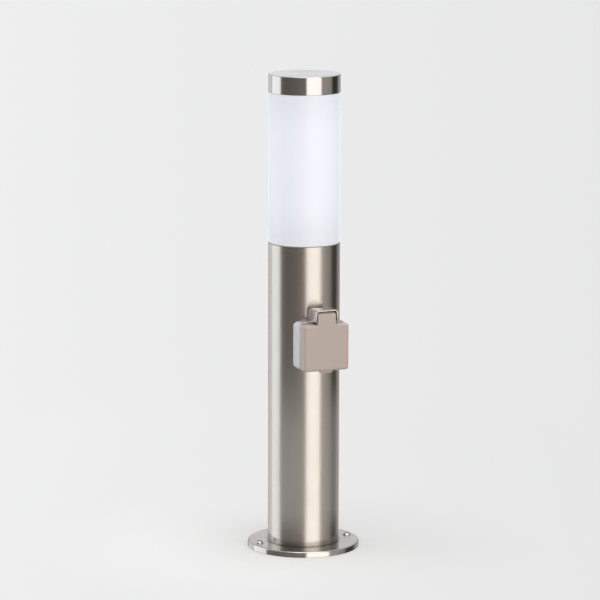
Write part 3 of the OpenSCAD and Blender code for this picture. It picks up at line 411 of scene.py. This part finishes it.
opalCover = finish("opalCover", {
    "colour": (0.715, 0.731, 0.79), "group": grain, "bump": 0.004,
    "values": {"Grains Per Metre": 400.0, "Clouds Per Metre": 9.0,
               "Smooth": 0.4, "Rough": 0.44, "Shade": 0.015},
    "shader": {"Specular IOR Level": 0.28, "Sheen Weight": 0.8, "Sheen Roughness": 0.32},
    # painted shade at both ends of the cover
    "ends": {"low": 0.331, "high": 0.489, "reach": 0.045, "shade": 0.085}})
bulbWhite = finish("bulbWhite", {
    "colour": (0.82, 0.82, 0.8), "group": grain, "bump": 0.03,
    "values": {"Grains Per Metre": 1200.0, "Smooth": 0.4, "Rough": 0.55, "Shade": 0.03}})


def wireSkin(name, colour):
    return finish(name, {
        "colour": colour, "group": grain, "bump": 0.05,
        "values": {"Grains Per Metre": 1500.0, "Smooth": 0.35, "Rough": 0.48, "Shade": 0.06}})


slotLook = {
    "post_steel": postSteel, "cap_steel": capSteel, "screw_steel": screwSteel, "zinc_sheet": zincSheet,
    "brass": brass, "opal_cover": opalCover, "bulb_white": bulbWhite, "holder_white": holderWhite,
    "seal_rubber": sealRubber, "flap_plastic": flapPlastic, "box_plastic": boxPlastic,
    "insert_plastic": insertPlastic,
    "live_brown": wireSkin("liveBrown", (0.16, 0.06, 0.025)),
    "neutral_blue": wireSkin("neutralBlue", (0.04, 0.13, 0.4)),
    "earth_green": wireSkin("earthGreen", (0.2, 0.42, 0.06)),
}
nodeLook = {"base_flange": flangeSteel, "socket_flange": hoodPlastic, "seam_gasket": seamRubber}
slotOf = {}
for name, node in cadNodes.items():
    slotOf[name] = node.data.materials[0].name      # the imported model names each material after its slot
    node.data.materials.clear()
    node.data.materials.append(nodeLook.get(name, slotLook[slotOf[name]]))
print("materials on", len(cadNodes), "nodes")

# pieces whose sharp edges are broken, as a tool or a polishing wheel leaves them
brokenEdges = {
    "lid": {"body": "lid", "width": 0.0003},
    "socket_flange": {"body": "post", "width": 0.00025},
    "socket_saddle": {"body": "post", "width": 0.0004},
    "socket_insert": {"body": "post", "width": 0.0002},
    "base_flange": {"body": "post", "width": 0.0002},
    "base_screws": {"body": "post", "width": 0.00015},
    "top_cap": {"body": "post", "width": 0.0002},
    "lamp_cover": {"body": "post", "width": 0.0004},
}
edgeSet = {
    "weld": 2e-6,
    "flat": 0.004,          # faces that differ by less, in radians, become one
    "sharpDeg": 40,
    "narrow": 1.05,         # a face must be this much wider than the rounding, or it would turn inside out
    "segments": 2,
    "normalWeight": 50,
}


def placePiece(name, mesh, nodeName, materials):
    for material in materials:
        mesh.materials.append(material)
    piece = bpy.data.objects.new(name, mesh)
    scene.collection.objects.link(piece)
    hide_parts(nodeName)
    return piece


def tooNarrow(edge, width):
    start, stop = (vert.co for vert in edge.verts)
    along = (stop - start).normalized()
    spans = [max((vert.co - start).cross(along).length for vert in face.verts) for face in edge.link_faces]
    return min(spans) < edgeSet["narrow"] * width


def endsOpen(edge, run):
    return any(len(run.intersection(vert.link_edges)) < 2 for vert in edge.verts)


def breakEdges(nodeName, look):
    source = cadNodes[nodeName]
    form = bmesh.new()
    form.from_mesh(source.data)
    bmesh.ops.remove_doubles(form, verts=form.verts[:], dist=edgeSet["weld"])
    bmesh.ops.dissolve_limit(form, angle_limit=edgeSet["flat"], verts=form.verts[:], edges=form.edges[:])
    sharpFrom = math.radians(edgeSet["sharpDeg"])
    folds = [edge for edge in form.edges if len(edge.link_faces) == 2]
    sharp = {edge for edge in folds if edge.calc_face_angle(0.0) > sharpFrom}
    crisp = {edge for edge in sharp if tooNarrow(edge, look["width"])}
    sharp -= crisp
    loose = sharp
    while loose:            # only runs that close on themselves are rounded
        loose = {edge for edge in sharp if endsOpen(edge, sharp)}
        sharp -= loose
        crisp |= loose
    for edge in crisp:
        edge.smooth = False
    bmesh.ops.bevel(form, geom=list(sharp), offset=look["width"], offset_type="OFFSET",
                    segments=edgeSet["segments"], profile=0.5, affect="EDGES", clamp_overlap=False)
    for face in form.faces:
        face.smooth = True
    mesh = bpy.data.meshes.new(nodeName + "Soft")
    form.to_mesh(mesh)
    form.free()
    if "custom_normal" in mesh.attributes:      # the solid's own normals don't fit the new edges
        mesh.attributes.remove(mesh.attributes["custom_normal"])
    piece = placePiece(nodeName + "Soft", mesh, nodeName, [source.data.materials[0]])
    even = piece.modifiers.new("evenNormals", "WEIGHTED_NORMAL")
    even.mode, even.weight, even.keep_sharp = "FACE_AREA", edgeSet["normalWeight"], True
    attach(piece, look["body"])


for nodeName, look in brokenEdges.items():
    breakEdges(nodeName, look)
print("edges broken on", len(brokenEdges), "pieces")


# round wire swept along a path
def smoothPath(points, steps):
    stops = [Vector(p) for p in points]
    path = []
    for i in range(len(stops) - 1):
        a, b, c, d = stops[max(i - 1, 0)], stops[i], stops[i + 1], stops[min(i + 2, len(stops) - 1)]
        for step in range(steps):
            t = step / steps
            path.append(0.5 * (2 * b + (c - a) * t + (2 * a - 5 * b + 4 * c - d) * t ** 2
                               + (3 * b - a - 3 * c + d) * t ** 3))
    return path + [stops[-1]]


def sweepRound(name, paths, radius, sides, stripeSides=0):
    turns = [2 * math.pi * k / sides for k in range(sides)]
    form = bmesh.new()
    for path in paths:
        side = (path[1] - path[0]).orthogonal().normalized()
        rings = []
        for i, spot in enumerate(path):
            ahead = (path[min(i + 1, len(path) - 1)] - path[max(i - 1, 0)]).normalized()
            side = (side - ahead * side.dot(ahead)).normalized()
            up = ahead.cross(side)
            corners = [spot + radius * (math.cos(t) * side + math.sin(t) * up) for t in turns]
            rings.append([form.verts.new(corner) for corner in corners])
        for low, high in zip(rings, rings[1:]):
            for k in range(sides):
                face = form.faces.new((low[k], low[(k + 1) % sides], high[(k + 1) % sides], high[k]))
                face.material_index = 1 if k < stripeSides else 0
                face.smooth = True
        form.faces.new(rings[0][::-1])
        form.faces.new(rings[-1])
    bmesh.ops.recalc_face_normals(form, faces=form.faces[:])
    mesh = bpy.data.meshes.new(name)
    form.to_mesh(mesh)
    form.free()
    return mesh


# single wires inside the post, in millimetres along the routes of the solids
wiring = {"radius": 0.0013, "sides": 16, "steps": 8, "stripe": 6}
lowRun = [
    (9.5, -18, 218.4), (9.5, -11.4, 218.4), (9.5, -2.915, 214.885), (9.5, 0.6, 206.4),
    (10.333, 4.733, 177.6), (11.167, 8.867, 148.8), (12, 13, 120), (12, 13, 106),
]
highRun = [
    (9.5, -18, 234.4), (9.5, -11.4, 234.4), (9.5, -2.915, 237.915), (9.5, 0.6, 246.4),
    (7.117, 0.4, 263.533), (4.733, 0.2, 280.667), (2.35, 0, 297.8), (2.35, 0, 311.8),
]
earthRun = [
    (-3.5, -18, 215.4), (-3.5, -11.4, 215.4), (-3.5, -2.915, 211.885), (-3.5, 0.6, 203.4),
    (-2.333, 4.733, 175.6), (-1.167, 8.867, 147.8), (0, 13, 120), (0, 13, 106),
]
bondRun = [
    (3.5, -18, 215.4), (3.5, -11.4, 215.4), (3.5, 0.621, 210.421), (3.5, 5.6, 198.4),
    (8, 8.8, 177.167), (12.5, 12, 155.933), (17, 15.2, 134.7), (17, 15.2, 120.7),
]
earthYellow = wireSkin("earthYellow", (0.75, 0.6, 0.05))


def inMetres(run, side=1):
    return smoothPath([(side * x / 1000, y / 1000, z / 1000) for x, y, z in run], wiring["steps"])


def drawWires():
    sets = {
        "live_wires": ([inMetres(lowRun, -1), inMetres(highRun, -1)], 0),
        "neutral_wires": ([inMetres(lowRun), inMetres(highRun)], 0),
        "earth_wires": ([inMetres(earthRun), inMetres(bondRun)], wiring["stripe"]),
    }
    for nodeName, (paths, stripeSides) in sets.items():
        mesh = sweepRound(nodeName + "Drawn", paths, wiring["radius"], wiring["sides"], stripeSides)
        skins = [cadNodes[nodeName].data.materials[0]] + ([earthYellow] if stripeSides else [])
        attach(placePiece(nodeName + "Drawn", mesh, nodeName, skins), "post")


drawWires()
print("wires drawn")

# closing spring round the hinge pin: one leg on the hood's web, the other on the tongue
springSet = {
    "pin": (0.0, -0.0598, 0.2595), "coilRadius": 0.0027, "wireRadius": 0.0004, "rise": 0.006247,
    "fromDeg": 270, "toDeg": 2000, "stepsPerTurn": 28, "webLeg": 0.0061, "tongueLeg": 0.00625, "sides": 12,
}


def windSpring():
    px, py, pz = springSet["pin"]
    first, last = springSet["fromDeg"], springSet["toDeg"]
    count = int((last - first) / 360 * springSet["stepsPerTurn"])
    path = []
    for i in range(count + 1):
        turn = math.radians(first + (last - first) * i / count)
        path.append(Vector((px + springSet["rise"] * (i / count - 0.5),
                            py - springSet["coilRadius"] * math.cos(turn),
                            pz + springSet["coilRadius"] * math.sin(turn))))
    end = math.radians(last)
    webEnd = path[0] + Vector((0, springSet["webLeg"], 0))
    tongueEnd = path[-1] + springSet["tongueLeg"] * Vector((0, math.sin(end), math.cos(end)))
    whole = [webEnd] + path + [tongueEnd]
    mesh = sweepRound("lidSpringWound", [whole], springSet["wireRadius"], springSet["sides"])
    piece = placePiece("lidSpringWound", mesh, "lid_spring", [screwSteel])
    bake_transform(piece)


windSpring()
print("spring wound")


# stage: two softboxes and a top light, a round floor that fades into the white, and the studio's dark side
def around(angleDeg, distance, height):
    angle = math.radians(angleDeg)          # 0 is at the camera, more is to its right
    spot = towardCamera * math.cos(angle) + cameraRight * math.sin(angle)
    return spot * distance + Vector((0, 0, height))


# each is two lamps with their own levels: shine is mirrored by metal, soft lights matt surfaces
softBoxes = {
    "leftBox": {"angle": -103.5, "distance": 1.7, "height": 0.35, "aim": 0.35, "width": 1.36, "tall": 1.9,
                "foot": 0.0, "shine": 1.29, "soft": 1.15, "colour": (0.97, 0.985, 1.0)},
    "rightBox": {"angle": 30.8, "distance": 1.7, "height": 0.35, "aim": 0.35, "width": 1.54, "tall": 1.9,
                 "foot": 0.8, "shine": 1.62, "soft": 0.8, "colour": (1.0, 0.955, 0.905)},
    "topBox": {"angle": 20, "distance": 0.5, "height": 1.9, "aim": 0.2, "width": 1.6, "tall": 1.6,
               "foot": 0.0, "shine": 2.2, "soft": 3.0, "colour": (1.0, 0.99, 0.98)},
}
softBehind = 0.03       # the soft lamp stands back by this share of its distance


def hangSoftBox(name, box):
    for part in ("shine", "soft"):
        foot = box["foot"] if part == "shine" else 0.0      # the mirrored one may reach further down
        data = bpy.data.lights.new(name + part.capitalize(), "AREA")
        data.shape = "RECTANGLE"
        data.size, data.size_y = box["width"], box["tall"] + foot
        data.color = box["colour"]
        data.energy = box[part] * math.pi * data.size * data.size_y
        lamp = bpy.data.objects.new(data.name, data)
        scene.collection.objects.link(lamp)
        place = around(box["angle"], box["distance"], box["height"] - foot / 2)
        aim = Vector((0, 0, box["aim"] - foot / 2)) - place
        lamp.location = place - aim * (softBehind if part == "soft" else 0.0)
        lamp.rotation_mode = "QUATERNION"
        lamp.rotation_quaternion = aim.to_track_quat("-Z", "Y")
        lamp.visible_camera = False
        lamp.visible_glossy = part == "shine"
        lamp.visible_diffuse = part == "soft"


for name, box in softBoxes.items():
    hangSoftBox(name, box)

# white paper under and behind the post, with distances in metres from it
paperSet = {
    "white": (0.83, 0.83, 0.834),
    "whiteLeft": 1.035, "whiteRight": 0.965,    # a painted fall-off of light, a little darker to the right
    "whiteSpan": 0.3, "skySpan": 0.09,          # over this far to each side: metres on it, a sine behind it
    # the paper's colour is darker to the right, a painted fall-off of light
    "paintLeft": 0.71, "paintRight": 0.56, "paintSpan": 0.2,
    "plainFrom": 0.06, "plainTo": 0.3,          # between these its own shade gives way to plain white
    "plainAtPost": 0.25,
    "fadeFrom": 0.6, "fadeTo": 0.9, "sides": 96, "drop": 0.0002,
    "mirror": 0.41,                             # share of the floor that metal shows between the softboxes
    "mirrorAtPost": 0.1,                        # part of that share at the post, a painted dark reflection at the tube's foot
    "mirrorFrom": 0.07, "mirrorTo": 0.22,       # and where it grows to the whole
    "boxFrom": 0.84, "boxFull": 0.91,           # cosines of the way to a softbox, where metal shows the box
}


def leftToRight(tree, sideways, span, left, right):
    return mapRange(tree, sideways, -span, span, left, right)


def paperFinish():
    material = bpy.data.materials.new("floorPaper")
    material.use_nodes = True
    tree = material.node_tree
    tree.nodes.clear()
    rays = addNode(tree, "ShaderNodeLightPath")
    surface = addNode(tree, "ShaderNodeNewGeometry")
    spot = surface.outputs["Position"]
    sideways = dotWith(tree, spot, cameraRight)
    paper = addNode(tree, "ShaderNodeBsdfDiffuse")
    # painted fall-off of light across the paper
    paperLight = leftToRight(tree, sideways, paperSet["paintSpan"], paperSet["paintLeft"], paperSet["paintRight"])
    wire(tree, paperLight, paper.inputs["Color"])
    glow = addNode(tree, "ShaderNodeEmission", {"Color": (*paperSet["white"], 1.0)})
    white = leftToRight(tree, sideways, paperSet["whiteSpan"], paperSet["whiteLeft"], paperSet["whiteRight"])
    wire(tree, white, glow.inputs["Strength"])
    length = addNode(tree, "ShaderNodeVectorMath", operation="LENGTH")
    wire(tree, spot, length.inputs[0])
    reach = length.outputs["Value"]
    plain = mapRange(tree, reach, paperSet["plainFrom"], paperSet["plainTo"], paperSet["plainAtPost"], 1.0,
                     smooth=True)
    seen = mixShaders(tree, mathNode(tree, "MULTIPLY", rays.outputs["Is Camera Ray"], plain), paper, glow)

    # what metal shows of it
    # less paper near the post, so metal there mirrors the dark studio: a painted dark reflection
    shown = mapRange(tree, reach, paperSet["mirrorFrom"], paperSet["mirrorTo"],
                     paperSet["mirrorAtPost"] * paperSet["mirror"], paperSet["mirror"], smooth=True)
    hidden = mathNode(tree, "SUBTRACT", 1.0, shown)
    onward = addNode(tree, "ShaderNodeVectorMath", operation="NORMALIZE")
    wire(tree, spot, onward.inputs[0])
    shares = []
    for name in ("leftBox", "rightBox"):
        toBox = dotWith(tree, onward.outputs[0], around(softBoxes[name]["angle"], 1.0, 0.0))
        share = mapRange(tree, toBox, paperSet["boxFrom"], paperSet["boxFull"], hidden, 1.0, smooth=True)
        shares.append(share)
    unseen = mathNode(tree, "MULTIPLY", rays.outputs["Is Glossy Ray"], mathNode(tree, "MAXIMUM", *shares))

    fade = mapRange(tree, reach, paperSet["fadeFrom"], paperSet["fadeTo"], 0.0, 1.0, smooth=True)
    clear = mathNode(tree, "MAXIMUM", fade, unseen)
    clear = mathNode(tree, "MAXIMUM", clear, surface.outputs["Backfacing"])     # open from underneath
    whole = mixShaders(tree, clear, seen, addNode(tree, "ShaderNodeBsdfTransparent"))
    wire(tree, whole.outputs[0], addNode(tree, "ShaderNodeOutputMaterial").inputs[0])
    return material


def layFloor():
    mesh = bpy.data.meshes.new("floor")
    form = bmesh.new()
    bmesh.ops.create_circle(form, cap_ends=True, segments=paperSet["sides"], radius=paperSet["fadeTo"])
    form.to_mesh(mesh)
    form.free()
    mesh.materials.append(paperFinish())
    floor = bpy.data.objects.new("floor", mesh)
    scene.collection.objects.link(floor)
    floor.location.z = -paperSet["drop"]


# what stands round the post, by degrees from the camera, more to its right
surround = [
    (-180, (0.97, 0.972, 1.0)), (-172, (0.5, 0.5, 0.52)), (-154, (0.5, 0.5, 0.52)),
    (-150, (0.97, 0.972, 1.0)), (-132, (0.9, 0.9, 0.92)), (-127, (0.3, 0.29, 0.28)),
    (-60, (0.106, 0.097, 0.086)), (-8, (0.16, 0.145, 0.128)), (57, (0.19, 0.172, 0.152)),
    (61, (0.35, 0.325, 0.294)), (95, (0.37, 0.345, 0.312)), (101, (0.05, 0.045, 0.035)),
    (127, (0.05, 0.045, 0.035)), (135, (0.33, 0.32, 0.31)), (152, (0.5, 0.5, 0.52)),
    (172, (0.5, 0.5, 0.52)), (180, (0.97, 0.972, 1.0)),
]
# heights are sines of the angle above the horizon, and near is the cosine of the way to the camera
studioSet = {
    "overhead": 0.6,
    "brinkFar": 0.17, "brinkNear": 0.55,        # where the ceiling starts, higher near the camera
    "brinkNearFrom": 0.1, "brinkNearTo": 0.7, "brinkSoft": 0.35,
    "deepFrom": -0.4, "deepTo": -0.8,           # below this it is as bright as the ceiling
    "lowLift": 0.62,                            # the camera's side is lighter low down
    "lowFrom": -0.085, "lowTo": -0.16, "lowNearFrom": 0.0, "lowNearTo": 0.5,
    "fillLeft": 0.75, "fillRight": 0.93,        # on matt surfaces
}


def surroundRing(tree, toCamera, toRight):
    ring = addNode(tree, "ShaderNodeValToRGB")
    turn = mathNode(tree, "ARCTAN2", toRight, toCamera)
    wire(tree, mapRange(tree, turn, -math.pi, math.pi, 0.0, 1.0), ring.inputs[0])
    stops = ring.color_ramp.elements
    while len(stops) < len(surround):
        stops.new(0.5)
    for stop, (angle, colour) in zip(stops, surround):
        stop.position = (angle + 180) / 360
        stop.color = (*colour, 1.0)
    return ring.outputs[0]


def lightWorld():
    world = bpy.data.worlds.new("studio")
    scene.world = world
    world.use_nodes = True
    tree = world.node_tree
    tree.nodes.clear()
    way = addNode(tree, "ShaderNodeTexCoord").outputs["Generated"]
    toCamera, toRight = dotWith(tree, way, towardCamera), dotWith(tree, way, cameraRight)
    height = splitXyz(tree, way)["Z"]
    brink = mapRange(tree, toCamera, studioSet["brinkNearFrom"], studioSet["brinkNearTo"],
                     studioSet["brinkFar"], studioSet["brinkNear"])
    ceiling = mathNode(tree, "ADD", brink, studioSet["brinkSoft"])
    high = mapRange(tree, height, brink, ceiling, 0.0, 1.0, smooth=True)
    deep = mapRange(tree, height, studioSet["deepFrom"], studioSet["deepTo"], 0.0, 1.0, smooth=True)
    lift = mapRange(tree, toCamera, studioSet["lowNearFrom"], studioSet["lowNearTo"],
                    0.0, studioSet["lowLift"])
    low = mapRange(tree, height, studioSet["lowFrom"], studioSet["lowTo"], 0.0, lift, smooth=True)
    lifted = toned(tree, surroundRing(tree, toCamera, toRight), mathNode(tree, "ADD", low, 1.0))
    dome = mixColours(tree, mathNode(tree, "MAXIMUM", high, deep), lifted, (studioSet["overhead"],) * 3)

    # metal mirrors the room, matt surfaces get an even light and the camera sees white
    room = addNode(tree, "ShaderNodeBackground", {"Strength": 1.0})
    wire(tree, dome, room.inputs["Color"])
    even = addNode(tree, "ShaderNodeBackground", {"Color": (1.0, 1.0, 1.0, 1.0)})
    fill = leftToRight(tree, toRight, 1.0, studioSet["fillLeft"], studioSet["fillRight"])
    wire(tree, fill, even.inputs["Strength"])
    seen = addNode(tree, "ShaderNodeBackground", {"Color": (*paperSet["white"], 1.0)})
    white = leftToRight(tree, toRight, paperSet["skySpan"], paperSet["whiteLeft"], paperSet["whiteRight"])
    wire(tree, white, seen.inputs["Strength"])
    rays = addNode(tree, "ShaderNodeLightPath")
    lit = mixShaders(tree, rays.outputs["Is Diffuse Ray"], room, even)
    whole = mixShaders(tree, rays.outputs["Is Camera Ray"], lit, seen)
    wire(tree, whole.outputs[0], addNode(tree, "ShaderNodeOutputWorld").inputs[0])


layFloor()
lightWorld()
print("stage set")
